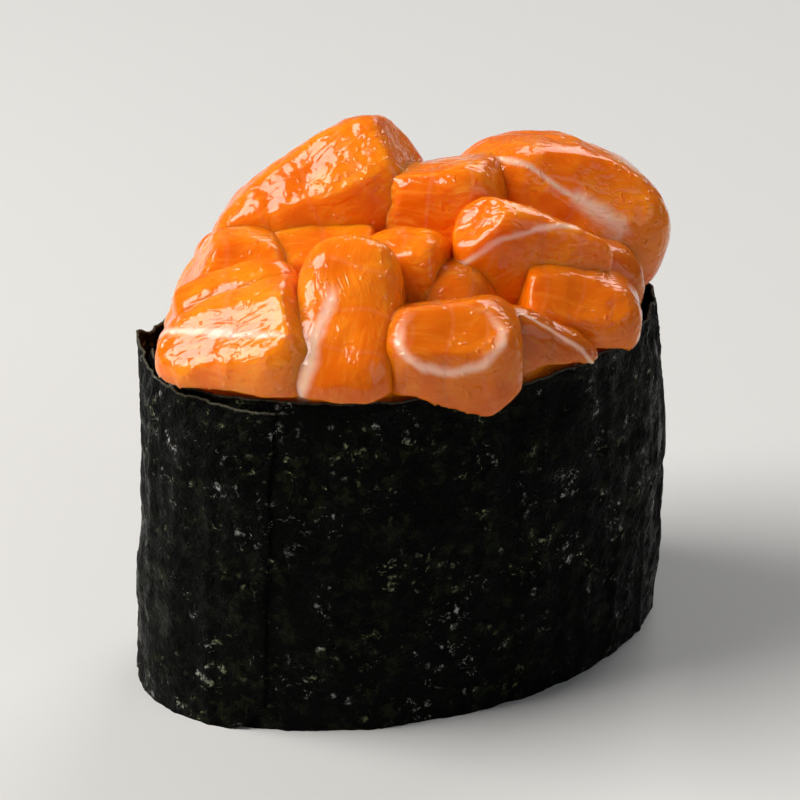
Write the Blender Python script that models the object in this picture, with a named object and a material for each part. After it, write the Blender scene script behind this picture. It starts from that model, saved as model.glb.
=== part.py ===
"""Gunkan sushi: a nori band round a core of rice, with a heap of diced salmon on top.

Metres, +Z up. The origin is the middle of the foot. The long axis of the oval is X.
The nori is one strip that goes once round the rice and laps over itself. Every dice of
salmon is its own solid, and gives way to the dice that lie on top of it.
"""

import math

import bmesh
import bpy
from mathutils import Matrix, Vector

MM = 0.001

# The oval of the band, as half axes in mm: longer at the foot, rounder at the rim.
FOOT_HALF = (26.4, 16.6)
RIM_HALF = (24.6, 17.8)
BAND_HEIGHT = 33.0
BAND_THICKNESS = 0.45
BELLY = 0.4
UNEVEN = 0.25
RIM_WAVE = 0.25

# The strip starts at the left end, under its own outer end, and climbs outwards as it laps.
STRIP_START_DEG = 166.0
STRIP_END_DEG = 218.0
STRIP_TURNS = (360 + STRIP_END_DEG - STRIP_START_DEG) / 360
LAP_RISE = 0.75
RIM_FALL = 0.8
BAND_COLUMNS = 84
BAND_ROWS = 4

# The rice stops short of the rim; its top is a low dome.
RICE_CLEARANCE = 0.65
RICE_EDGE_HEIGHT = 24.0
RICE_DOME = 4.5
RICE_SIDES = 44
RICE_WALL_HEIGHTS = (0.0, 6.0, 12.0, 18.0, RICE_EDGE_HEIGHT)
RICE_TOP_SHARES = (0.86, 0.66, 0.44, 0.22)
RICE_LUMP = 0.35

# What touches keeps this gap; the dice sit a little higher still above the lumps of the rice.
GAP = 0.3
SEAT = 0.4

# Smaller than this is a crumb, and an edge sharper than this stays sharp.
CRUMB = 0.02
SHARP_DEG = 35

# How far out the knife cuts when a cut's reach is 1, as a share of the block's corner.
KNIFE_REACH = 0.8

# Colour and roughness of what each piece is made of.
NORI_LOOK = ((0.012, 0.018, 0.010), 0.5)
RICE_LOOK = ((0.86, 0.84, 0.78), 0.55)
SALMON_LOOK = ((0.86, 0.30, 0.09), 0.3)

# Each dice: centre and size in mm, turn as roll, pitch and heading in degrees, roundness of
# its corners (higher is boxier), how much its +X end and its top narrow, how far it bows,
# and the knife cuts that trim it: a direction in its own axes and how far out the cut is,
# as a share of its half size. Those that come first lie on top of those that follow.
DICE = {
    "salmon_centre_wedge": dict(
        at=(8.3, -8.5, 39.6), size=(15.0, 9.5, 14.0), turn=(6, -6, -28), squareness=3.6,
        narrow=(0.55, 0.35), bow=-0.4,
        cuts=[((0.15, -0.55, 0.8), 0.72), ((-0.62, -0.35, 0.7), 0.72), ((-0.9, -0.3, 0.25), 0.9),
              ((0.3, -0.85, -0.4), 0.9)]),
    "salmon_front_dice": dict(
        at=(-4.0, -15.1, 35.0), size=(13.0, 11.0, 11.0), turn=(4, 3, -32), squareness=3.8,
        narrow=(0.0, 0.1), bow=0.8,
        cuts=[((0.05, -0.45, 0.9), 0.86), ((-0.1, 0.35, 0.95), 0.86), ((-0.7, 0.1, 0.7), 0.95),
              ((0.6, -0.3, -0.75), 0.76)]),
    "salmon_front_wedge": dict(
        at=(-19.1, -4.4, 34.2), size=(16.0, 10.5, 10.0), turn=(8, 14, -42), squareness=3.2,
        narrow=(-0.55, 0.25), bow=-0.6,
        cuts=[((-0.15, -0.5, 0.85), 0.82), ((0.9, 0.1, 0.3), 0.95)]),
    "salmon_glassy_strip": dict(
        at=(-17.0, 0.4, 37.0), size=(12.0, 8.5, 8.0), turn=(18, 20, -28), squareness=3.6,
        narrow=(0.1, 0.35), bow=0.3, cuts=[((-0.1, -0.55, 0.8), 0.8)]),
    "salmon_front_slab": dict(
        at=(-11.2, -9.0, 37.2), size=(17.0, 12.0, 9.5), turn=(4, 40, 52), squareness=3.4,
        narrow=(0.15, 0.1), bow=-0.6, cuts=[((0.1, 0.75, 0.65), 0.9), ((0.0, -0.75, 0.65), 0.9)]),
    "salmon_small_block": dict(
        at=(-2.4, -4.4, 38.6), size=(8.5, 8.5, 8.5), turn=(-8, 4, -36), squareness=3.8,
        narrow=(0.0, 0.15), bow=0.4, cuts=[((0.95, -0.3, 0.1), 0.85), ((-0.2, -0.5, 0.85), 0.86)]),
    "salmon_left_shoulder": dict(
        at=(-14.5, 6.2, 34.4), size=(13.5, 13.5, 13.0), turn=(-4, 10, -26), squareness=3.2,
        narrow=(-0.1, 0.2), bow=0.6,
        cuts=[((-0.75, 0.0, 0.65), 0.66), ((0.1, -0.65, 0.75), 0.85), ((-0.75, -0.6, 0.3), 0.85)]),
    "salmon_ledge": dict(
        at=(-6.6, 3.4, 37.6), size=(12.0, 10.0, 8.5), turn=(-6, 4, -26), squareness=4.4,
        narrow=(0.0, 0.1), bow=0.3, cuts=[((1.0, -0.2, 0.0), 0.9), ((0.0, -0.4, 0.9), 0.82)]),
    "salmon_top_left": dict(
        at=(-4.3, 8.2, 41.2), size=(22.5, 9.8, 10.0), turn=(-12, 28, -18), squareness=3.0,
        narrow=(-0.3, 0.2), bow=1.0,
        cuts=[((1.0, -0.3, 0.15), 0.9), ((0.05, -0.7, 0.7), 0.84), ((-0.5, 0.3, 0.8), 0.9)]),
    "salmon_right_dice": dict(
        at=(10.2, -11.6, 34.4), size=(13.0, 11.0, 10.5), turn=(6, -12, -26), squareness=3.6,
        narrow=(0.05, 0.1), bow=0.4, cuts=[((0.0, -0.55, 0.85), 0.86), ((-0.8, -0.3, 0.4), 0.92)]),
    "salmon_front_sliver": dict(
        at=(4.4, -15.4, 33.2), size=(12.0, 8.0, 10.5), turn=(14, -24, -18), squareness=3.2,
        narrow=(0.3, 0.35), bow=0.0, cuts=[((0.25, -0.6, 0.75), 0.8)]),
    "salmon_right_large": dict(
        at=(17.2, 0.9, 39.3), size=(21.5, 15.0, 12.0), turn=(-6, -19, -24), squareness=3.2,
        narrow=(0.0, 0.2), bow=2.0,
        cuts=[((0.05, -0.8, 0.6), 0.82), ((0.85, 0.2, 0.5), 0.92)]),
    "salmon_back_slab": dict(
        at=(5.0, 2.2, 40.0), size=(13.5, 11.0, 14.0), turn=(8, 8, -38), squareness=3.8,
        narrow=(0.0, 0.15), bow=0.6, cuts=[((-0.55, -0.6, 0.55), 0.8), ((0.0, 0.3, 0.95), 0.9)]),
    "salmon_right_sliver": dict(
        at=(16.2, -6.8, 33.8), size=(8.5, 10.0, 11.5), turn=(0, -12, -16), squareness=3.4,
        narrow=(0.1, 0.2), bow=0.3, cuts=[((0.7, -0.3, 0.6), 0.9)]),
    "salmon_centre_deep": dict(
        at=(0.6, -6.0, 33.8), size=(11.5, 12.0, 13.0), turn=(0, 6, -44), squareness=3.4,
        narrow=(0.0, 0.15), bow=0.3, cuts=[((-0.3, -0.6, 0.75), 0.9)]),
    "salmon_back_left": dict(
        at=(-7.6, 11.6, 34.6), size=(15.0, 10.0, 9.0), turn=(-22, -4, -8), squareness=3.4,
        narrow=(0.1, 0.2), bow=0.8, cuts=[((0.2, 0.7, 0.7), 0.84)]),
    "salmon_back_middle": dict(
        at=(2.5, 12.6, 35.0), size=(14.0, 10.0, 10.0), turn=(-20, 4, 4), squareness=3.6,
        narrow=(0.0, 0.15), bow=0.6, cuts=[((-0.1, 0.7, 0.7), 0.84)]),
    "salmon_back_right": dict(
        at=(13.5, 9.8, 33.8), size=(14.0, 10.0, 9.0), turn=(-18, -4, -30), squareness=3.4,
        narrow=(0.1, 0.2), bow=0.8, cuts=[((0.1, 0.75, 0.65), 0.84)]),
}


def clear_scene():
    for obj in list(bpy.data.objects):
        bpy.data.objects.remove(obj)


def material(name, colour, roughness):
    made = bpy.data.materials.new(name)
    made.use_nodes = True
    shader = made.node_tree.nodes["Principled BSDF"]
    shader.inputs["Base Color"].default_value = (*colour, 1.0)
    shader.inputs["Roughness"].default_value = roughness
    return made


def oval_point(angle, height, outwards):
    """A point on the band's oval at this angle and height, moved outwards by so many mm."""
    share = min(max(height / BAND_HEIGHT, 0.0), 1.0)
    half_x = FOOT_HALF[0] + (RIM_HALF[0] - FOOT_HALF[0]) * share
    half_y = FOOT_HALF[1] + (RIM_HALF[1] - FOOT_HALF[1]) * share
    belly = BELLY * math.sin(math.pi * share) + UNEVEN * math.sin(3 * angle + 5 * share)
    normal = Vector((math.cos(angle) / half_x, math.sin(angle) / half_y, 0)).normalized()
    return Vector((half_x * math.cos(angle), half_y * math.sin(angle), height)) + normal * (belly + outwards)


def finish_object(name, bm, finish):
    """Turns a bmesh drawn in mm into a named object in metres, with its material."""
    bmesh.ops.scale(bm, vec=(MM,) * 3, verts=bm.verts)
    mesh = bpy.data.meshes.new(name)
    bm.to_mesh(mesh)
    bm.free()
    mesh.shade_smooth()
    mesh.set_sharp_from_angle(angle=math.radians(SHARP_DEG))
    mesh.materials.append(finish)
    obj = bpy.data.objects.new(name, mesh)
    bpy.context.scene.collection.objects.link(obj)
    return obj


def nori_band(finish):
    """One strip of nori, wound once round and lapped over its own start."""
    bm = bmesh.new()
    bmesh.ops.create_grid(bm, x_segments=BAND_COLUMNS, y_segments=BAND_ROWS, size=0.5)
    for vert in bm.verts:
        along, up = vert.co.x + 0.5, vert.co.y + 0.5
        angle = math.radians(STRIP_START_DEG) + math.tau * STRIP_TURNS * along
        rim = BAND_HEIGHT - RIM_FALL * along + RIM_WAVE * math.sin(7 * angle) * math.sin(2.3 * angle)
        climb = LAP_RISE * STRIP_TURNS * along
        vert.co = oval_point(angle, rim * up, climb)
    bmesh.ops.recalc_face_normals(bm, faces=bm.faces)
    bmesh.ops.solidify(bm, geom=bm.faces[:], thickness=BAND_THICKNESS)
    bmesh.ops.recalc_face_normals(bm, faces=bm.faces)
    for vert in bm.verts:
        if vert.co.z < BAND_THICKNESS:
            vert.co.z = 0.0
    return finish_object("nori_band", bm, finish)


def ring(bm, height, outwards, share=1.0):
    """A closed ring of vertices round the oval; share below 1 draws it in towards the middle."""
    verts = []
    for step in range(RICE_SIDES):
        place = oval_point(math.tau * step / RICE_SIDES, height, outwards)
        verts.append(bm.verts.new((place.x * share, place.y * share, height)))
    return verts


def skin_rings(bm, rings):
    for low, high in zip(rings, rings[1:]):
        for i in range(len(low)):
            j = (i + 1) % len(low)
            bm.faces.new((low[i], low[j], high[j], high[i]))


def rice_top(share):
    """Height of the rice, from its edge at share 1 to its middle at share 0."""
    return RICE_EDGE_HEIGHT + RICE_DOME * (1 - share * share)


def rice_core(finish):
    bm = bmesh.new()
    edge = -BAND_THICKNESS / 2 - RICE_CLEARANCE
    rings = [ring(bm, height, edge) for height in RICE_WALL_HEIGHTS]
    for share in RICE_TOP_SHARES:
        rings.append(ring(bm, rice_top(share), edge, share))
    for number, loop in enumerate(rings[1:], 1):
        for step, vert in enumerate(loop):
            lump = RICE_LUMP * math.sin(2.1 * step + 1.7 * number)
            on_top = number >= len(RICE_WALL_HEIGHTS)
            vert.co += Vector((0, 0, lump)) if on_top else -vert.co.normalized() * max(lump, 0)
    skin_rings(bm, rings)
    bm.faces.new(list(reversed(rings[0])))
    bm.faces.new(rings[-1])
    bmesh.ops.recalc_face_normals(bm, faces=bm.faces)
    return finish_object("rice", bm, finish)


def bowl_cutter():
    """What a dice may not enter: the rice, the band's wall up to its rim, and outside it a
    slope that falls away at 45 degrees, so that no dice hangs down the wall."""
    bm = bmesh.new()
    outside = LAP_RISE * STRIP_TURNS + BAND_THICKNESS / 2 + GAP
    inside = -BAND_THICKNESS / 2 - GAP
    rim = BAND_HEIGHT + RIM_WAVE + GAP
    rings = [
        ring(bm, 0.0, outside + rim),
        ring(bm, rim, outside),
        ring(bm, rim, inside),
        ring(bm, RICE_EDGE_HEIGHT + GAP + SEAT, inside),
    ]
    for share in RICE_TOP_SHARES:
        rings.append(ring(bm, rice_top(share) + GAP + SEAT, inside, share))
    skin_rings(bm, rings)
    bm.faces.new(list(reversed(rings[0])))
    bm.faces.new(rings[-1])
    bmesh.ops.recalc_face_normals(bm, faces=bm.faces)
    return helper("bowl_cutter", bm)


def helper(name, bm):
    obj = finish_object(name, bm, None)
    obj.hide_render = True
    obj.display_type = "WIRE"
    return obj


def dice_mesh(size, turn, at, squareness, narrow, bow, cuts, grown=0.0):
    """A soft-cornered block in mm, narrowed, bowed and trimmed by the knife, then put in place."""
    bm = bmesh.new()
    bmesh.ops.create_cube(bm, size=2.0)
    bmesh.ops.subdivide_edges(bm, edges=bm.edges[:], cuts=3, use_grid_fill=True)
    half = Vector(size) / 2 + Vector((grown,) * 3)
    for vert in bm.verts:
        x, y, z = vert.co
        spread = (abs(x) ** squareness + abs(y) ** squareness + abs(z) ** squareness) ** (-1 / squareness)
        x, y, z = x * spread, y * spread, z * spread
        y *= 1 - narrow[0] * (x + 1) / 2 - narrow[1] * (z + 1) / 2
        z *= 1 - narrow[0] * (x + 1) / 2
        vert.co = Vector((x * half.x, y * half.y, z * half.z + bow * (0.5 - x * x)))
    for direction, reach in cuts:
        normal = Vector(direction).normalized()
        away = abs(normal.x) * half.x + abs(normal.y) * half.y + abs(normal.z) * half.z
        sliced = bmesh.ops.bisect_plane(
            bm, geom=bm.verts[:] + bm.edges[:] + bm.faces[:], plane_co=normal * (away * reach * KNIFE_REACH + grown),
            plane_no=normal, clear_outer=True)
        rim = [e for e in sliced["geom_cut"] if isinstance(e, bmesh.types.BMEdge)]
        if rim:
            bmesh.ops.holes_fill(bm, edges=rim)
    roll, pitch, heading = (math.radians(a) for a in turn)
    place = (Matrix.Translation(at) @ Matrix.Rotation(heading, 4, "Z")
             @ Matrix.Rotation(-pitch, 4, "Y") @ Matrix.Rotation(roll, 4, "X"))
    bmesh.ops.transform(bm, matrix=place, verts=bm.verts)
    bmesh.ops.triangulate(bm, faces=bm.faces[:])
    bmesh.ops.recalc_face_normals(bm, faces=bm.faces)
    return bm


def keep_largest(obj):
    """Drops the crumbs that a cut leaves beside the piece."""
    bm = bmesh.new()
    bm.from_mesh(obj.data)
    bmesh.ops.remove_doubles(bm, verts=bm.verts, dist=CRUMB * MM)
    left, bodies = set(bm.verts), []
    while left:
        body, edge = set(), [left.pop()]
        while edge:
            vert = edge.pop()
            body.add(vert)
            for link in vert.link_edges:
                other = link.other_vert(vert)
                if other in left:
                    left.remove(other)
                    edge.append(other)
        bodies.append(body)
    bodies.sort(key=len)
    for body in bodies[:-1]:
        bmesh.ops.delete(bm, geom=list(body), context="VERTS")
    bm.to_mesh(obj.data)
    bm.free()


def carve(obj, cutters):
    """Cuts every cutter out of the piece for good."""
    for cutter in cutters:
        cut = obj.modifiers.new(cutter.name, "BOOLEAN")
        cut.operation = "DIFFERENCE"
        cut.object = cutter
    bpy.context.view_layer.update()
    graph = bpy.context.evaluated_depsgraph_get()
    carved = bpy.data.meshes.new_from_object(obj.evaluated_get(graph))
    obj.modifiers.clear()
    obj.data = carved
    carved.name = obj.name
    keep_largest(obj)
    obj.data.shade_smooth()
    obj.data.set_sharp_from_angle(angle=math.radians(SHARP_DEG))


def salmon_heap(finish):
    """The dice in order, each cut back by those above it and by the band and the rice."""
    cutters = [bowl_cutter()]
    for name, values in DICE.items():
        piece = finish_object(name, dice_mesh(**values), finish)
        carve(piece, cutters)
        cutters.append(helper(name + "_cutter", dice_mesh(**values, grown=GAP)))


def main():
    clear_scene()
    nori_band(material("nori", *NORI_LOOK))
    rice_core(material("rice", *RICE_LOOK))
    salmon_heap(material("salmon", *SALMON_LOOK))


main()
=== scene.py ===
import math
import random

import bmesh
import bpy
from mathutils import Euler, Matrix, Vector, noise


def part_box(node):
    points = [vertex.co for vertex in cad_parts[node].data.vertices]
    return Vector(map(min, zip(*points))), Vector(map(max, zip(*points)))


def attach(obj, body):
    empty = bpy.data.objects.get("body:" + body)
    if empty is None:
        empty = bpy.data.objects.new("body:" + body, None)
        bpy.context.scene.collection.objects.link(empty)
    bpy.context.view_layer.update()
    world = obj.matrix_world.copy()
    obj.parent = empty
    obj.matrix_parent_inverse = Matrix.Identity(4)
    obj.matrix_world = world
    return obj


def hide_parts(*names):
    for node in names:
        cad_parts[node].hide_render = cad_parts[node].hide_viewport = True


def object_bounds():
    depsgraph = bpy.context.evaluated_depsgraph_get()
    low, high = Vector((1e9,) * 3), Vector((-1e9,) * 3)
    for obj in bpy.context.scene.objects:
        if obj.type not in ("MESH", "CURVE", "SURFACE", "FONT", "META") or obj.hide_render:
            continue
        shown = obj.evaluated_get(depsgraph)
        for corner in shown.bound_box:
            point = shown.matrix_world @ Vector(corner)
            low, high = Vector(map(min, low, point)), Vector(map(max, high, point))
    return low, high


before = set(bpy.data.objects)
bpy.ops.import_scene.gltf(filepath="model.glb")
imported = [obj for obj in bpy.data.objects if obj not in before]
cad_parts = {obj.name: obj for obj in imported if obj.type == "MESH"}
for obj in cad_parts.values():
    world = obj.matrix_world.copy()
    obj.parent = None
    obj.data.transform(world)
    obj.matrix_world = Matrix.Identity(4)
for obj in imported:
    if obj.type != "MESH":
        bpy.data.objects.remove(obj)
cadLow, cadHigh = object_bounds()
mm = 0.001
print("frame loaded:", len(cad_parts), "nodes")


def addNode(tree, kind, values=None, **settings):
    made = tree.nodes.new(kind)
    for key, value in settings.items():
        setattr(made, key, value)
    for key, value in (values or {}).items():
        if isinstance(value, bpy.types.NodeSocket):
            tree.links.new(value, made.inputs[key])
        else:
            made.inputs[key].default_value = value
    return made


def calc(tree, operation, a, b=0.0, c=0.0, clamp=False):
    return addNode(tree, "ShaderNodeMath", {0: a, 1: b, 2: c}, operation=operation, use_clamp=clamp).outputs[0]


def calcVector(tree, operation, a, b=(0, 0, 0)):
    made = addNode(tree, "ShaderNodeVectorMath", {0: a, 1: b}, operation=operation)
    return made.outputs["Value" if operation in ("DOT_PRODUCT", "LENGTH") else "Vector"]


def scaled(tree, vector, factor):
    made = addNode(tree, "ShaderNodeVectorMath", {0: vector}, operation="SCALE")
    if isinstance(factor, bpy.types.NodeSocket):
        tree.links.new(factor, made.inputs["Scale"])
    else:
        made.inputs["Scale"].default_value = factor
    return made.outputs["Vector"]


def noiseAt(tree, vector, scale, detail=2.0, rough=0.5, distortion=0.0):
    return addNode(tree, "ShaderNodeTexNoise",
                   {"Vector": vector, "Scale": scale, "Detail": detail, "Roughness": rough, "Distortion": distortion})


def smoothBetween(tree, value, low, high, start=0.0, end=1.0):
    return addNode(tree, "ShaderNodeMapRange",
                   {"Value": value, "From Min": low, "From Max": high, "To Min": start, "To Max": end},
                   interpolation_type="SMOOTHSTEP").outputs["Result"]


def mixColour(tree, amount, a, b, how="MIX"):
    made = addNode(tree, "ShaderNodeMix", data_type="RGBA", blend_type=how, clamp_factor=True)
    for key, value in ((0, amount), (6, a), (7, b)):
        if isinstance(value, bpy.types.NodeSocket):
            tree.links.new(value, made.inputs[key])
        else:
            made.inputs[key].default_value = (*value, 1.0) if key and len(value) == 3 else value
    return made.outputs[2]


def newGroup(name, takes, gives):
    # takes and gives: socket name to kind
    group = bpy.data.node_groups.new(name, "ShaderNodeTree")
    for way, sockets in (("INPUT", takes), ("OUTPUT", gives)):
        for socketName, kind in sockets.items():
            group.interface.new_socket(name=socketName, in_out=way, socket_type="NodeSocket" + kind)
    return group, group.nodes.new("NodeGroupInput").outputs, group.nodes.new("NodeGroupOutput").inputs


def newMaterial(name):
    made = bpy.data.materials.new(name)
    made.use_nodes = True
    return made, made.node_tree, made.node_tree.nodes["Principled BSDF"]


def keepPiece(piece, slotName, *nodes):
    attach(piece, "root")
    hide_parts(*nodes)
    piece.data.shade_smooth()


def meshObject(name, bm):
    mesh = bpy.data.meshes.new(name)
    bm.to_mesh(mesh)
    bm.free()
    piece = bpy.data.objects.new(name, mesh)
    bpy.context.scene.collection.objects.link(piece)
    return piece


def baked(piece):
    # applies the piece's modifiers
    graph = bpy.context.evaluated_depsgraph_get()
    mesh = bpy.data.meshes.new_from_object(piece.evaluated_get(graph))
    piece.modifiers.clear()
    piece.data = mesh
    mesh.name = piece.name
    return piece


def makeFatSheet():
    # a sheet of white fat through the flesh: a bent plane with a soft edge
    group, take, give = newGroup(
        "fatSheet",
        {"Vector": "Vector", "Origin": "Vector", "Direction": "Vector", "Bend": "Float", "Width": "Float",
         "Wobble": "Float", "Reach": "Float"},
        {"Mask": "Float"})
    warp = noiseAt(group, take["Vector"], 0.22, 2.0).outputs["Color"]
    warp = scaled(group, calcVector(group, "SUBTRACT", warp, (0.5, 0.5, 0.5)), take["Wobble"])
    place = calcVector(group, "SUBTRACT", calcVector(group, "ADD", take["Vector"], warp), take["Origin"])
    away = calcVector(group, "DOT_PRODUCT", place, take["Direction"])
    spread = calcVector(group, "LENGTH", place)
    bent = calc(group, "MULTIPLY", calc(group, "MULTIPLY", spread, spread), take["Bend"])
    away = calc(group, "ABSOLUTE", calc(group, "ADD", away, bent))
    fray = calc(group, "MULTIPLY_ADD", noiseAt(group, take["Vector"], 0.9, 3.0).outputs["Fac"], 1.1, 0.45)
    width = calc(group, "MULTIPLY", take["Width"], fray)
    share = calc(group, "DIVIDE", away, width)
    mask = smoothBetween(group, share, 0.0, 1.2, 1.0, 0.0)
    near = smoothBetween(group, calc(group, "DIVIDE", spread, take["Reach"]), 0.75, 1.0, 1.0, 0.0)
    group.links.new(calc(group, "MULTIPLY", mask, near), give["Mask"])
    return group


def makeFleshGrain():
    # flakes across X with thin pale seams, fine fibres along X, the wrinkles of a wet skin, and small wet beads
    group, take, give = newGroup(
        "fleshGrain",
        {"Vector": "Vector", "Spacing": "Float", "Wobble": "Float"},
        {"Seams": "Float", "Fibres": "Float", "Cloud": "Float", "Wet": "Float", "Beads": "Float"})
    warp = noiseAt(group, take["Vector"], 0.11, 1.0).outputs["Color"]
    warp = scaled(group, calcVector(group, "SUBTRACT", warp, (0.5, 0.5, 0.5)), take["Wobble"])
    place = calcVector(group, "ADD", take["Vector"], warp)
    along = addNode(group, "ShaderNodeSeparateXYZ", {0: place}).outputs[0]
    wave = calc(group, "PINGPONG", calc(group, "DIVIDE", along, take["Spacing"]), 0.5)
    group.links.new(smoothBetween(group, wave, 0.0, 0.09, 1.0, 0.0), give["Seams"])
    stretched = addNode(group, "ShaderNodeMapping", {"Vector": place, "Scale": (0.19, 1.7, 1.7)}).outputs[0]
    group.links.new(noiseAt(group, stretched, 1.0, 3.0, 0.6).outputs["Fac"], give["Fibres"])
    group.links.new(noiseAt(group, take["Vector"], 0.16, 2.0).outputs["Fac"], give["Cloud"])
    skin = addNode(group, "ShaderNodeMapping", {"Vector": place, "Scale": (0.7, 1.3, 1.3)}).outputs[0]
    group.links.new(noiseAt(group, skin, 1.0, 0.9, 0.4, 0.7).outputs["Fac"], give["Wet"])
    drops = noiseAt(group, take["Vector"], 1.7, 0.0).outputs["Fac"]
    group.links.new(smoothBetween(group, drops, 0.62, 0.84), give["Beads"])
    return group


fatSheet = makeFatSheet()
fleshGrain = makeFleshGrain()


noriShape = {
    "footHalf": (26.4, 16.6), "rimHalf": (24.6, 17.8), "height": 33.0,
    "startDegrees": 166.0, "endDegrees": 218.0, "lapRise": 0.6, "rimFall": 0.8,
    "columns": 560, "rows": 84, "thickness": 0.2,
    "crumple": 0.34, "crumpleSize": 5.5, "flute": 0.25, "crease": 0.17, "creaseSize": 2.0,
    "fine": 0.11, "fineSize": 0.8, "fringe": 0.3, "curl": 0.9, "curlAt": 0.845,
    "endShare": 0.024, "endCorner": 3.6, "endPress": 0.36,
}


def ovalPoint(angle, height, outwards):
    s = noriShape
    share = min(max(height / s["height"], 0.0), 1.0)
    halfX = s["footHalf"][0] + (s["rimHalf"][0] - s["footHalf"][0]) * share
    halfY = s["footHalf"][1] + (s["rimHalf"][1] - s["footHalf"][1]) * share
    belly = 0.4 * math.sin(math.pi * share) + 0.25 * math.sin(3 * angle + 5 * share)
    normal = Vector((math.cos(angle) / halfX, math.sin(angle) / halfY, 0)).normalized()
    return Vector((halfX * math.cos(angle), halfY * math.sin(angle), height)) + normal * (belly + outwards)


def makeWallCutter():
    # the room that the band takes, with a slope outside it: no dice may hang down the wall
    segments = 96
    bm = bmesh.new()
    loop = bmesh.ops.create_circle(bm, segments=segments, radius=1.0)["verts"]
    angles = [math.atan2(vert.co.y, vert.co.x) for vert in loop]
    rim = noriShape["height"] + 0.55
    first = [edge for edge in bm.edges]
    edges = first
    for height, outwards in ((18.0, -0.45), (rim, -0.45), (rim, 1.25), (-1.0, 36.0)):
        if height != 18.0:
            grown = bmesh.ops.extrude_edge_only(bm, edges=edges)["geom"]
            loop = [item for item in grown if isinstance(item, bmesh.types.BMVert)]
            edges = [item for item in grown if isinstance(item, bmesh.types.BMEdge)]
            angles = [math.atan2(vert.co.y, vert.co.x) for vert in loop]
        for vert, angle in zip(loop, angles):
            vert.co = ovalPoint(angle, height, outwards)
    bmesh.ops.bridge_loops(bm, edges=first + edges)
    bmesh.ops.scale(bm, vec=(mm,) * 3, verts=bm.verts)
    bmesh.ops.recalc_face_normals(bm, faces=bm.faces)
    return meshObject("wall_cutter", bm)


salmonShape = {
    "voxel": 0.27 * mm,
    "fit": 0.985,          # keeps the smooth dice inside the faceted solids
    "rounding": 6,         # smoothing steps
    "lumps": 0.30 * mm,
    "lumpSize": 5.0 * mm,
    "ripples": 0.12 * mm,
    "rippleSize": 1.7 * mm,
    "wrinkles": 0.05 * mm,
    "wrinkleSize": 1.0 * mm,
    "flakes": 0.03 * mm,
}

salmonTint = {
    "deep": (0.80, 0.155, 0.001),
    "flesh": (0.92, 0.235, 0.004),
    "light": (0.97, 0.38, 0.035),
    "red": (0.80, 0.12, 0.004),
    "amber": (0.96, 0.33, 0.004),
    "fat": (0.96, 0.58, 0.43),
    "glow": 0.0020,        # how far light travels in the flesh, in metres
}

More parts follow.
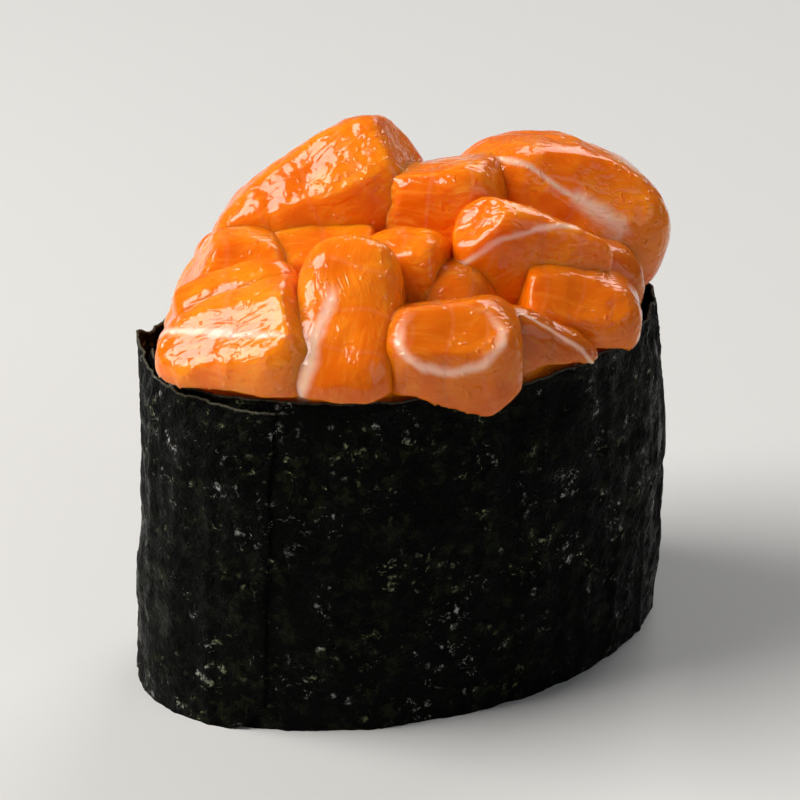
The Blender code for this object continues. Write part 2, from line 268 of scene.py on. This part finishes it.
# each dice in mm and degrees: its middle, size, turn, how boxy it is, how it narrows and bows and the knife
# cuts that trim it; then the spacing of its flakes, how pale and warm it is, its painted shading (a brightness
# factor that paints shade on pieces turned from the key lamp and light where the flesh glowed lit), and its sheets
# of fat: origin and direction in its own axes, width, bend and reach
dice = {
    "salmon_centre_wedge": dict(
        at=(8.3, -8.5, 39.6), size=(15.0, 9.5, 14.0), turn=(6, -6, -28),
        squareness=3.6, narrow=(0.55, 0.35), bow=-0.4,
        cuts=[((0.15, -0.55, 0.8), 0.72), ((-0.62, -0.35, 0.7), 0.70), ((-0.5, -0.75, 0.3), 0.74),
              ((0.3, -0.85, -0.4), 0.9)],
        spacing=4.2, pale=0.45, warm=0.2, paintedShading=1.0,
        fat=[((-2.5, -2.2, 3.3), (-0.41, 0.37, 0.80), 0.4, 0.03, 7)]),
    "salmon_front_dice": dict(
        at=(-4.0, -15.1, 35.0), size=(13.0, 11.0, 11.0), turn=(4, 3, -32),
        squareness=3.8, narrow=(0.0, 0.1), bow=0.8,
        cuts=[((0.05, -0.45, 0.9), 0.86), ((-0.1, 0.35, 0.95), 0.86), ((-0.7, 0.1, 0.7), 0.95),
              ((0.6, -0.3, -0.75), 0.76)],
        spacing=3.6, pale=0.3, warm=-0.2, paintedShading=0.84,
        fat=[((0.3, -5.1, 1.3), (0.0, 0.0, 1.0), 0.6, -0.09, 7)]),
    "salmon_front_wedge": dict(
        at=(-19.1, -4.4, 34.2), size=(16.0, 10.5, 10.0), turn=(8, 14, -42),
        squareness=3.2, narrow=(-0.55, 0.25), bow=-0.6,
        cuts=[((-0.15, -0.5, 0.85), 0.82), ((0.9, 0.1, 0.3), 0.95)],
        spacing=5.0, pale=0.5, warm=0.2, paintedShading=1.0,
        fat=[((-0.6, -2.6, 4.8), (0.25, 0.78, 0.57), 0.5, 0.0, 8)]),
    "salmon_glassy_strip": dict(
        at=(-17.0, 0.4, 37.0), size=(12.0, 8.5, 8.0), turn=(18, 20, -28),
        squareness=3.6, narrow=(0.1, 0.35), bow=0.3,
        cuts=[((-0.1, -0.55, 0.8), 0.8)],
        spacing=6.0, pale=0.2, warm=0.3, paintedShading=1.0,
        fat=[]),
    "salmon_front_slab": dict(
        at=(-11.2, -9.0, 37.2), size=(17.0, 12.0, 9.5), turn=(4, 40, 52),
        squareness=3.4, narrow=(0.15, 0.1), bow=-0.6,
        cuts=[((0.1, 0.75, 0.65), 0.9), ((0.0, -0.75, 0.65), 0.9)],
        spacing=4.4, pale=0.3, warm=0.0, paintedShading=1.0,
        fat=[((-5.0, 2.6, 3.9), (0.15, 1.0, 0.0), 0.9, 0.0, 8)]),
    "salmon_small_block": dict(
        at=(-2.4, -4.4, 38.6), size=(8.5, 8.5, 8.5), turn=(-8, 4, -36),
        squareness=3.8, narrow=(0.0, 0.15), bow=0.4,
        cuts=[((0.95, -0.3, 0.1), 0.85), ((-0.2, -0.5, 0.85), 0.86)],
        spacing=3.8, pale=0.2, warm=0.0, paintedShading=1.02,
        fat=[]),
    "salmon_left_shoulder": dict(
        at=(-14.5, 6.2, 34.4), size=(13.5, 13.5, 13.0), turn=(-4, 10, -26),
        squareness=3.2, narrow=(-0.1, 0.2), bow=0.6,
        cuts=[((-0.75, 0.0, 0.65), 0.66), ((0.1, -0.65, 0.75), 0.85), ((-0.75, -0.6, 0.3), 0.85)],
        spacing=5.0, pale=0.25, warm=0.2, paintedShading=1.0,
        fat=[]),
    "salmon_ledge": dict(
        at=(-6.6, 3.4, 37.6), size=(12.0, 10.0, 8.5), turn=(-6, 4, -26),
        squareness=4.4, narrow=(0.0, 0.1), bow=0.3,
        cuts=[((1.0, -0.2, 0.0), 0.9), ((0.0, -0.4, 0.9), 0.82)],
        spacing=4.5, pale=0.2, warm=0.1, paintedShading=1.0,
        fat=[]),
    "salmon_top_left": dict(
        at=(-4.3, 8.2, 41.2), size=(22.5, 9.8, 10.0), turn=(-12, 28, -18),
        squareness=3.0, narrow=(-0.3, 0.2), bow=1.0,
        cuts=[((1.0, -0.3, 0.15), 0.9), ((0.05, -0.7, 0.7), 0.84), ((-0.5, 0.3, 0.8), 0.9)],
        spacing=5.2, pale=0.25, warm=0.1, paintedShading=1.0,
        fat=[]),
    "salmon_right_dice": dict(
        at=(10.2, -11.6, 34.4), size=(13.0, 11.0, 10.5), turn=(6, -12, -26),
        squareness=3.6, narrow=(0.05, 0.1), bow=0.4,
        cuts=[((0.0, -0.55, 0.85), 0.86), ((-0.8, -0.3, 0.4), 0.92), ((-1.0, 0.0, 0.1), 0.92)],
        spacing=3.4, pale=0.15, warm=-0.3, paintedShading=0.9,
        fat=[]),
    "salmon_front_sliver": dict(
        at=(4.4, -15.4, 33.2), size=(12.0, 8.0, 10.5), turn=(14, -24, -18),
        squareness=3.2, narrow=(0.3, 0.35), bow=0.0,
        cuts=[((0.25, -0.6, 0.75), 0.8)],
        spacing=4.0, pale=0.4, warm=-0.4, paintedShading=0.72,
        fat=[((0.9, -1.2, 3.8), (0.22, 0.74, 0.56), 0.3, 0.0, 6)]),
    "salmon_right_large": dict(
        at=(17.2, 0.9, 39.3), size=(21.5, 15.0, 12.0), turn=(-6, -19, -24),
        squareness=3.2, narrow=(0.0, 0.2), bow=2.0,
        cuts=[((0.05, -0.8, 0.6), 0.82), ((0.85, 0.2, 0.5), 0.92)],
        spacing=5.5, pale=0.12, warm=-0.1, paintedShading=1.06,
        fat=[((-2.3, -5.6, 3.5), (0.25, 0.59, 0.77), 0.45, 0.0, 9),
             ((2.0, -6.2, 2.4), (0.25, 0.59, 0.77), 1.3, 0.0, 3.6)]),
    "salmon_back_slab": dict(
        at=(5.0, 2.2, 40.0), size=(13.5, 11.0, 14.0), turn=(8, 8, -38),
        squareness=3.8, narrow=(0.0, 0.15), bow=0.6,
        cuts=[((-0.55, -0.6, 0.55), 0.8), ((0.0, 0.3, 0.95), 0.9)],
        # real fibre streaks, made extra pale here to paint the pink sheen of this face's striated highlights
        spacing=4.2, pale=0.9, warm=-0.1, paintedShading=1.0,
        fat=[]),
    "salmon_right_sliver": dict(
        at=(16.2, -6.8, 33.8), size=(8.5, 10.0, 11.5), turn=(0, -12, -16),
        squareness=3.4, narrow=(0.1, 0.2), bow=0.3,
        cuts=[((0.7, -0.3, 0.6), 0.9)],
        spacing=4.5, pale=0.1, warm=-0.3, paintedShading=0.8,
        fat=[]),
    "salmon_centre_deep": dict(
        at=(0.6, -6.0, 33.8), size=(11.5, 12.0, 13.0), turn=(0, 6, -44),
        squareness=3.4, narrow=(0.0, 0.15), bow=0.3,
        cuts=[((-0.3, -0.6, 0.75), 0.9)],
        # its paleness and brightness paint the lit pink column between its neighbours: painted light
        spacing=4.0, pale=0.5, warm=-0.35, paintedShading=0.86,
        fat=[]),
    "salmon_back_left": dict(
        at=(-7.6, 11.6, 34.6), size=(15.0, 10.0, 9.0), turn=(-22, -4, -8),
        squareness=3.4, narrow=(0.1, 0.2), bow=0.8,
        cuts=[((0.2, 0.7, 0.7), 0.84)],
        spacing=4.2, pale=0.2, warm=0.0, paintedShading=1.0,
        fat=[((0, 1, 2.4), (0.4, 0.5, 0.8), 0.5, 0.01, 12)]),
    "salmon_back_middle": dict(
        at=(2.5, 12.6, 35.0), size=(14.0, 10.0, 10.0), turn=(-20, 4, 4),
        squareness=3.6, narrow=(0.0, 0.15), bow=0.6,
        cuts=[((-0.1, 0.7, 0.7), 0.84)],
        spacing=4.4, pale=0.25, warm=0.1, paintedShading=1.0,
        fat=[((2, 2, 1.6), (0.8, 0.3, 0.5), 0.6, 0.01, 12)]),
    "salmon_back_right": dict(
        at=(13.5, 9.8, 33.8), size=(14.0, 10.0, 9.0), turn=(-18, -4, -30),
        squareness=3.4, narrow=(0.1, 0.2), bow=0.8,
        cuts=[((0.1, 0.75, 0.65), 0.84)],
        spacing=4.6, pale=0.2, warm=0.0, paintedShading=1.0,
        fat=[((0, 2, 2.2), (-0.3, 0.6, 0.7), 0.5, 0.01, 12)]),
}


def ownTurn(look):
    roll, pitch, heading = (math.radians(a) for a in look["turn"])
    return Euler((roll, -pitch, heading), "XYZ")


def cutDice(look):
    bm = bmesh.new()
    bmesh.ops.create_cube(bm, size=2.0)
    bmesh.ops.subdivide_edges(bm, edges=bm.edges[:], cuts=9, use_grid_fill=True)
    half = Vector(look["size"]) / 2 * salmonShape["fit"]
    power = look["squareness"]
    narrow, bow = look["narrow"], look["bow"]
    for vert in bm.verts:
        x, y, z = vert.co
        spread = (abs(x) ** power + abs(y) ** power + abs(z) ** power) ** (-1 / power)
        x, y, z = x * spread, y * spread, z * spread
        y *= 1 - narrow[0] * (x + 1) / 2 - narrow[1] * (z + 1) / 2
        z *= 1 - narrow[0] * (x + 1) / 2
        vert.co = Vector((x * half.x, y * half.y, z * half.z + bow * (0.5 - x * x)))
    for direction, reach in look["cuts"]:
        normal = Vector(direction).normalized()
        away = abs(normal.x) * half.x + abs(normal.y) * half.y + abs(normal.z) * half.z
        sliced = bmesh.ops.bisect_plane(
            bm, geom=bm.verts[:] + bm.edges[:] + bm.faces[:], plane_co=normal * away * reach * 0.8,
            plane_no=normal, clear_outer=True)
        rim = [item for item in sliced["geom_cut"] if isinstance(item, bmesh.types.BMEdge)]
        if rim:
            bmesh.ops.holes_fill(bm, edges=rim)
    bmesh.ops.transform(bm, matrix=toRow(look), verts=bm.verts)
    bmesh.ops.triangulate(bm, faces=bm.faces[:])
    bmesh.ops.recalc_face_normals(bm, faces=bm.faces)
    return bm


def toRow(look):
    return Matrix.Scale(mm, 4) @ Matrix.Translation(look["at"]) @ ownTurn(look).to_matrix().to_4x4()


def smoothed(bm, steps):
    for step in range(steps):
        bmesh.ops.smooth_vert(bm, verts=bm.verts, factor=0.5, use_axis_x=True, use_axis_y=True, use_axis_z=True)


def makeDice(name, look, number, cutter):
    piece = meshObject(name + "_flesh", cutDice(look))
    cut = piece.modifiers.new("wall", "BOOLEAN")
    cut.operation = "DIFFERENCE"
    cut.object = cutter
    remesh = piece.modifiers.new("even", "REMESH")
    remesh.mode = "VOXEL"
    remesh.voxel_size = salmonShape["voxel"]
    baked(piece)
    bm = bmesh.new()
    bm.from_mesh(piece.data)
    smoothed(bm, salmonShape["rounding"])
    bm.normal_update()
    toOwn = toRow(look).inverted()
    shift = Vector((number * 3.7, number * 1.3, -number * 2.9))
    moves = []
    for vert in bm.verts:
        own = toOwn @ vert.co
        lump = noise.noise(vert.co / salmonShape["lumpSize"] + shift)
        ripple = noise.noise(vert.co / salmonShape["rippleSize"] - shift)
        wrinkle = noise.noise(Vector((own.x * 0.6, own.y, own.z)) * mm / salmonShape["wrinkleSize"] + shift)
        bend = noise.noise(own * 0.12 + shift) * 2.2
        flake = ((own.x + bend) / look["spacing"]) % 1.0
        moves.append(lump * salmonShape["lumps"] + ripple * salmonShape["ripples"]
                     + wrinkle * salmonShape["wrinkles"] + (flake - 0.5) * 2 * salmonShape["flakes"])
    for vert, move in zip(bm.verts, moves):
        vert.co += vert.normal * move
    smoothed(bm, 1)
    for vert in bm.verts:
        for k in range(3):
            vert.co[k] = min(max(vert.co[k], cadLow[k]), cadHigh[k])
    bm.to_mesh(piece.data)
    bm.free()
    piece.data.materials.clear()
    piece.data.materials.append(fleshMaterial(name, look))
    keepPiece(piece, "salmon", name)
    return piece


def fleshMaterial(name, look):
    made, tree, shader = newMaterial(name.replace("salmon", "flesh"))
    place = addNode(tree, "ShaderNodeTexCoord").outputs["Object"]
    own = addNode(tree, "ShaderNodeMapping",
                  {"Vector": place, "Location": Vector(look["at"]) * mm, "Rotation": ownTurn(look), "Scale": (mm,) * 3},
                  vector_type="TEXTURE").outputs[0]
    grain = addNode(tree, "ShaderNodeGroup", node_tree=fleshGrain)
    tree.links.new(own, grain.inputs["Vector"])
    grain.inputs["Spacing"].default_value = look["spacing"]
    grain.inputs["Wobble"].default_value = 5.0
    seams, fibres, cloud, wet, beads = (grain.outputs[k] for k in ("Seams", "Fibres", "Cloud", "Wet", "Beads"))
    fatMask = None
    for origin, direction, width, bend, reach in look["fat"]:
        sheet = addNode(tree, "ShaderNodeGroup", node_tree=fatSheet)
        tree.links.new(own, sheet.inputs["Vector"])
        for key, value in (("Origin", origin), ("Direction", Vector(direction).normalized()), ("Width", width),
                           ("Bend", bend), ("Wobble", 1.6), ("Reach", reach)):
            sheet.inputs[key].default_value = value
        fatMask = sheet.outputs["Mask"] if fatMask is None else calc(tree, "MAXIMUM", fatMask, sheet.outputs["Mask"])
    lean = Vector(salmonTint["amber"] if look["warm"] > 0 else salmonTint["red"])
    # the brightness factor scales all three flesh colours: painted shade below 1, painted light above 1
    flesh = Vector(salmonTint["flesh"]).lerp(lean, abs(look["warm"])) * look["paintedShading"]
    deep = Vector(salmonTint["deep"]) * look["paintedShading"]
    light = Vector(salmonTint["light"]) * look["paintedShading"]
    colour = mixColour(tree, smoothBetween(tree, cloud, 0.36, 0.64), tuple(deep), tuple(flesh))
    colour = mixColour(tree, calc(tree, "MULTIPLY", smoothBetween(tree, fibres, 0.45, 0.8), 0.16 + 0.7 * look["pale"]),
                       colour, tuple(light))
    colour = mixColour(tree, calc(tree, "MULTIPLY", seams, 0.02 + 0.08 * look["pale"]), colour, salmonTint["fat"])
    if fatMask is not None:
        colour = mixColour(tree, calc(tree, "MULTIPLY", fatMask, 0.92), colour, salmonTint["fat"])
    tree.links.new(colour, shader.inputs["Base Color"])
    tree.links.new(smoothBetween(tree, wet, 0.35, 0.7, 0.025, 0.07), shader.inputs["Roughness"])
    shader.inputs["IOR"].default_value = 1.42
    shader.inputs["Subsurface Weight"].default_value = 0.85
    shader.inputs["Subsurface Radius"].default_value = (1.0, 0.5, 0.2)
    shader.inputs["Subsurface Scale"].default_value = salmonTint["glow"]
    patches = smoothBetween(tree, noiseAt(tree, own, 0.2, 1.0).outputs["Fac"], 0.38, 0.60, 0.35, 1.0)
    height = calc(tree, "ADD", calc(tree, "MULTIPLY", wet, patches), calc(tree, "MULTIPLY", fibres, 0.08))
    beaded = smoothBetween(tree, cloud, 0.42, 0.60, 0.15, 0.6)
    height = calc(tree, "ADD", height, calc(tree, "MULTIPLY", beads, beaded))
    bump = addNode(tree, "ShaderNodeBump", {"Height": height, "Distance": 0.17 * mm, "Strength": 1.0})
    tree.links.new(bump.outputs[0], shader.inputs["Normal"])
    return made


wallCutter = makeWallCutter()
for number, (name, look) in enumerate(dice.items()):
    makeDice(name, look, number, wallCutter)
bpy.data.objects.remove(wallCutter)
print("salmon dice made:", len(dice))


def makeNori():
    s = noriShape
    bm = bmesh.new()
    bmesh.ops.create_grid(bm, x_segments=s["columns"], y_segments=s["rows"], size=0.5)
    edgeLayer = bm.verts.layers.float.new("paintedHighlightEdge")
    turn = math.radians(360 + s["endDegrees"] - s["startDegrees"])
    for vert in bm.verts:
        along, up = vert.co.x + 0.5, vert.co.y + 0.5
        angle = math.radians(s["startDegrees"]) + turn * along
        rim = s["height"] - s["rimFall"] * along + 0.25 * math.sin(7 * angle) * math.sin(2.3 * angle)
        tear = noise.noise(Vector((angle * 9.0, 3.1, 0))) * 0.6 + noise.noise(Vector((angle * 34.0, 0, 1.7))) * 0.4
        rim += s["fringe"] * min(tear, 0.3)
        flick = math.exp(-((along - s["curlAt"]) / 0.009) ** 2) * max(up - 0.93, 0) / 0.07
        end = max(along - 1 + s["endShare"], 0) / s["endShare"]
        foot = s["endCorner"] * (1 - math.sqrt(1 - end * end))    # the end's lower corner is round
        high = foot + (rim - foot) * up
        angle += end * 0.02 * noise.noise(Vector((0.4, high * 0.35, 2.0)))
        climb = s["lapRise"] * along * turn / math.tau - s["endPress"] * end * end
        q = ovalPoint(angle, high, 0)
        crumple = noise.noise(q / s["crumpleSize"]) * s["crumple"]
        flute = noise.noise(Vector((math.cos(angle) * 14, math.sin(angle) * 14, up * 1.5))) * s["flute"]
        ridge = 1 - abs(noise.noise(q / s["creaseSize"])) * 2.4
        fine = 1 - abs(noise.noise(q / s["fineSize"] + Vector((3, 8, 1)))) * 2.4
        here = 0.35 + 0.9 * max(noise.noise(q / 6.0 + Vector((9, 0, 0))) + 0.25, 0)
        relief = (ridge * s["crease"] + fine * s["fine"]) * here + crumple + flute
        outwards = min(climb + relief, climb + 0.34) + flick * s["curl"] * 0.6
        vert.co = ovalPoint(angle, high + flick * s["curl"], outwards)
        # marks the top rim, where a highlight is painted
        vert[edgeLayer] = 1.0 if up > 0.999 else 0.0
        if up < 0.001:
            vert.co.z = foot
    bmesh.ops.scale(bm, vec=(mm,) * 3, verts=bm.verts)
    bmesh.ops.recalc_face_normals(bm, faces=bm.faces)
    piece = meshObject("nori_sheet", bm)
    wall = piece.modifiers.new("wall", "SOLIDIFY")
    wall.thickness = s["thickness"] * mm
    wall.offset = -1.0
    baked(piece)
    for vert in piece.data.vertices:
        for k in range(3):
            vert.co[k] = min(max(vert.co[k], cadLow[k]), cadHigh[k])
    piece.data.materials.append(noriMaterial())
    keepPiece(piece, "nori", "nori_band")
    return piece


noriTint = {
    "black": (0.0005, 0.0006, 0.0004),
    "green": (0.0068, 0.0094, 0.0024),
    # the fleck and leaf colours are painted glints, grey and olive, where the crumpled film catches light
    "paintedGlintFleck": (0.34, 0.34, 0.31),
    "paintedOliveGlint": (0.15, 0.17, 0.06),
    # edge: a painted highlight of light catching the cut rim
    "edge": (0.10, 0.098, 0.070),
}


def noriMaterial():
    made, tree, shader = newMaterial("nori")
    place = scaled(tree, addNode(tree, "ShaderNodeTexCoord").outputs["Object"], 1000.0)
    warp = noiseAt(tree, place, 0.8, 2.0).outputs["Color"]
    bent = calcVector(tree, "ADD", place, scaled(tree, calcVector(tree, "SUBTRACT", warp, (0.5, 0.5, 0.5)), 1.8))
    blotch = noiseAt(tree, place, 0.26, 3.0, 0.6).outputs["Fac"]
    weave = noiseAt(tree, place, 2.2, 5.0, 0.68, 0.8).outputs["Fac"]
    gather = smoothBetween(tree, blotch, 0.47, 0.60)
    greener = smoothBetween(tree, noiseAt(tree, place, 0.2, 1.0).outputs["Fac"], 0.40, 0.58)
    # dark green shows through where the sheet is thin
    thin = smoothBetween(tree, noiseAt(tree, bent, 0.7, 4.0, 0.65).outputs["Fac"], 0.50, 0.66)
    thin = calc(tree, "MULTIPLY", thin, calc(tree, "MULTIPLY_ADD", greener, 0.8, 0.2))
    colour = mixColour(tree, thin, noriTint["black"], noriTint["green"])
    # small torn chips, thin curled lines, and the patches where they gather, painted in light colours as glints
    cells = addNode(tree, "ShaderNodeTexVoronoi", {"Vector": bent, "Scale": 0.85, "Randomness": 1.0})
    picked = addNode(tree, "ShaderNodeSeparateColor", {0: cells.outputs["Color"]}).outputs[0]
    chip = calc(tree, "MULTIPLY", smoothBetween(tree, picked, 0.55, 0.60),
                smoothBetween(tree, cells.outputs["Distance"], 0.18, 0.42, 1.0, 0.0))
    curl = noiseAt(tree, bent, 0.75, 2.0, 0.5, 0.6).outputs["Fac"]
    line = smoothBetween(tree, calc(tree, "ABSOLUTE", calc(tree, "SUBTRACT", curl, 0.5)), 0.004, 0.022, 1.0, 0.0)
    short = smoothBetween(tree, noiseAt(tree, place, 0.9, 2.0).outputs["Fac"], 0.52, 0.60)
    paintedGlintFleck = calc(tree, "MULTIPLY", calc(tree, "MAXIMUM", chip, calc(tree, "MULTIPLY", line, short)), gather)
    broken = smoothBetween(tree, noiseAt(tree, place, 2.6, 3.0, 0.7).outputs["Fac"], 0.44, 0.62)
    paintedGlintFleck = calc(tree, "MULTIPLY", paintedGlintFleck, broken)
    # the flecks get the painted glint colours
    colour = mixColour(tree, paintedGlintFleck, colour, mixColour(tree, greener, noriTint["paintedGlintFleck"], noriTint["paintedOliveGlint"]))
    # a painted highlight along the thin cut rim, where light catches it
    edge = addNode(tree, "ShaderNodeAttribute", attribute_name="paintedHighlightEdge").outputs["Fac"]
    colour = mixColour(tree, calc(tree, "MULTIPLY", smoothBetween(tree, edge, 0.4, 0.9), 0.8), colour, noriTint["edge"])
    tree.links.new(colour, shader.inputs["Base Color"])
    # the crumpled film glints in patches and is dull between them
    film = smoothBetween(tree, noiseAt(tree, place, 0.35, 4.0, 0.65).outputs["Fac"], 0.46, 0.60)
    tree.links.new(calc(tree, "MULTIPLY_ADD", film, -0.36, 0.60), shader.inputs["Roughness"])
    tree.links.new(calc(tree, "MULTIPLY", paintedGlintFleck, 0.9), shader.inputs["Coat Weight"])
    shader.inputs["Coat Roughness"].default_value = 0.2
    shader.inputs["Specular IOR Level"].default_value = 0.045
    folds = noiseAt(tree, bent, 1.0, 2.0, 0.55).outputs["Fac"]
    folds = calc(tree, "ABSOLUTE", calc(tree, "SUBTRACT", folds, 0.5))
    height = calc(tree, "ADD", calc(tree, "MULTIPLY", weave, 0.5), calc(tree, "MULTIPLY", folds, -2.2))
    bump = addNode(tree, "ShaderNodeBump", {"Height": height, "Distance": 0.40 * mm, "Strength": 1.0})
    tree.links.new(bump.outputs[0], shader.inputs["Normal"])
    return made


makeNori()
print("nori made")


riceShape = {
    "length": 5.3, "girth": 2.5, "core": 0.94, "coreFoot": 1.2, "coreDrop": 1.4,
    "edgeHeight": 24.0, "dome": 4.5, "pitch": 3.1,
}


def makeRiceCore():
    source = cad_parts["rice"]
    bm = bmesh.new()
    bm.from_mesh(source.data)
    bmesh.ops.remove_doubles(bm, verts=bm.verts, dist=1e-6)
    low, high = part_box("rice")
    for vert in bm.verts:
        share = (vert.co.z - low.z) / (high.z - low.z)
        vert.co.x *= riceShape["core"]
        vert.co.y *= riceShape["core"]
        vert.co.z = low.z + riceShape["coreFoot"] * mm + share * (
            high.z - low.z - (riceShape["coreFoot"] + riceShape["coreDrop"]) * mm)
    piece = meshObject("rice_core", bm)
    piece.data.materials.append(riceMaterial)
    keepPiece(piece, "rice", "rice")


def addGrain(bm, place, turn, length, girth):
    grown = bmesh.ops.create_icosphere(bm, subdivisions=2, radius=1.0)["verts"]
    for vert in grown:
        x, y, z = vert.co
        plump = 1 - 0.12 * x
        vert.co = Vector((x * length / 2, y * girth / 2 * plump, z * girth * 0.46 * plump + 0.16 * (1 - x * x)))
    bmesh.ops.transform(bm, matrix=Matrix.Translation(place) @ turn.to_matrix().to_4x4(), verts=grown)


def makeGrains():
    s = riceShape
    chance = random.Random(7)
    bm = bmesh.new()
    count = 0
    for layer in ("foot", "top"):
        rows = int(36 / s["pitch"])
        for row in range(-rows, rows + 1):
            for column in range(-12, 13):
                x = column * s["pitch"] * 1.45 + (row % 2) * s["pitch"] * 0.72 + chance.uniform(-0.7, 0.7)
                y = row * s["pitch"] * 0.78 + chance.uniform(-0.5, 0.5)
                heading = chance.uniform(0, math.pi)
                reach = math.hypot(x / 25.6, y / 15.9)
                if reach > 0.93:
                    continue
                if reach > 0.82:          # grains by the band lie along it
                    heading = math.atan2(x / 25.6 * 15.9, -y / 15.9 * 25.6) + chance.uniform(-0.3, 0.3)
                if layer == "foot":
                    z = s["girth"] * 0.46 + chance.uniform(0.0, 0.25)
                    tilt = chance.uniform(-0.05, 0.05)
                else:
                    z = s["edgeHeight"] + s["dome"] * (1 - reach * reach) - 1.2 + chance.uniform(-0.3, 0.3)
                    tilt = chance.uniform(-0.3, 0.3)
                addGrain(bm, Vector((x, y, z)), Euler((chance.uniform(-0.3, 0.3), tilt, heading)),
                         s["length"] * chance.uniform(0.85, 1.06), s["girth"] * chance.uniform(0.9, 1.08))
                count += 1
    for vert in bm.verts:
        vert.co.z = max(vert.co.z, 0.0)
    bmesh.ops.scale(bm, vec=(mm,) * 3, verts=bm.verts)
    piece = meshObject("rice_grains", bm)
    piece.data.materials.append(riceMaterial)
    keepPiece(piece, "rice", "rice")
    return count


def makeRiceMaterial():
    made, tree, shader = newMaterial("rice")
    place = scaled(tree, addNode(tree, "ShaderNodeTexCoord").outputs["Object"], 1000.0)
    cloud = noiseAt(tree, place, 0.5, 3.0).outputs["Fac"]
    fine = noiseAt(tree, place, 3.0, 3.0).outputs["Fac"]
    colour = mixColour(tree, smoothBetween(tree, cloud, 0.35, 0.65), (0.74, 0.71, 0.62), (0.86, 0.84, 0.78))
    tree.links.new(colour, shader.inputs["Base Color"])
    tree.links.new(smoothBetween(tree, fine, 0.3, 0.7, 0.25, 0.42), shader.inputs["Roughness"])
    shader.inputs["Subsurface Weight"].default_value = 0.4
    shader.inputs["Subsurface Radius"].default_value = (1.0, 0.9, 0.7)
    shader.inputs["Subsurface Scale"].default_value = 0.001
    bump = addNode(tree, "ShaderNodeBump", {"Height": fine, "Distance": 0.08 * mm})
    tree.links.new(bump.outputs[0], shader.inputs["Normal"])
    return made


riceMaterial = makeRiceMaterial()
makeRiceCore()
print("rice made:", makeGrains(), "grains")


studio = {"floor": (0.62, 0.62, 0.61), "turn": 30.1, "rise": 26.0, "distance": 0.33, "lens": 157.7,
          "target": (0, 0, 0.0165), "lookUp": 6.98 * mm, "lookLeft": 0.5 * mm}


def makeStudio():
    bm = bmesh.new()
    bmesh.ops.create_grid(bm, x_segments=1, y_segments=1, size=2.0)
    floor = meshObject("floor", bm)
    made, tree, shader = newMaterial("floor")
    shader.inputs["Base Color"].default_value = (*studio["floor"], 1)
    shader.inputs["Roughness"].default_value = 0.6
    floor.data.materials.append(made)

    turn, rise = math.radians(studio["turn"]), math.radians(studio["rise"])
    back = Vector((-math.sin(turn) * math.cos(rise), -math.cos(turn) * math.cos(rise), math.sin(rise)))
    up = Vector((math.sin(turn) * math.sin(rise), math.cos(turn) * math.sin(rise), math.cos(rise)))
    right = Vector((math.cos(turn), -math.sin(turn), 0))
    target = Vector(studio["target"])
    lens = bpy.data.cameras.new("camera")
    lens.sensor_width = 36.0
    lens.lens = studio["lens"]
    lens.clip_start, lens.clip_end = 0.01, 10.0
    camera = bpy.data.objects.new("camera", lens)
    bpy.context.scene.collection.objects.link(camera)
    camera.location = target + back * studio["distance"]
    aim = target + up * studio["lookUp"] - right * studio["lookLeft"]
    camera.rotation_mode = "QUATERNION"
    camera.rotation_quaternion = (aim - camera.location).to_track_quat("-Z", "Y")
    bpy.context.scene.camera = camera

    towards = Vector((-math.sin(turn), -math.cos(turn), 0))
    lamps = (
        # name, right, towards the viewer, up, distance, size, watts, colour
        ("key", -0.70, 0.08, 0.74, 0.60, 0.40, 5.3, (1.0, 0.97, 0.93)),
        ("back", 0.35, -0.80, 0.70, 0.70, 0.35, 1.6, (1.0, 0.98, 0.95)),
        ("fill", 0.75, 0.55, 0.45, 0.90, 0.60, 1.1, (0.95, 0.97, 1.0)),
    )
    for name, toRight, toViewer, toSky, distance, size, watts, colour in lamps:
        light = bpy.data.lights.new(name, "AREA")
        light.shape = "RECTANGLE"
        light.size, light.size_y = size, size
        light.energy = watts
        light.color = colour
        lamp = bpy.data.objects.new(name, light)
        bpy.context.scene.collection.objects.link(lamp)
        way = (right * toRight + towards * toViewer + Vector((0, 0, toSky))).normalized()
        lamp.location = target + way * distance
        lamp.rotation_mode = "QUATERNION"
        lamp.rotation_quaternion = (-way).to_track_quat("-Z", "Y")

    world = bpy.data.worlds.new("studio")
    bpy.context.scene.world = world
    world.use_nodes = True
    world.node_tree.nodes["Background"].inputs["Color"].default_value = (0.9, 0.93, 1.0, 1)
    world.node_tree.nodes["Background"].inputs["Strength"].default_value = 0.10


makeStudio()
bpy.context.scene.view_settings.view_transform = "Standard"     # keeps the full orange of the flesh
print("studio made")
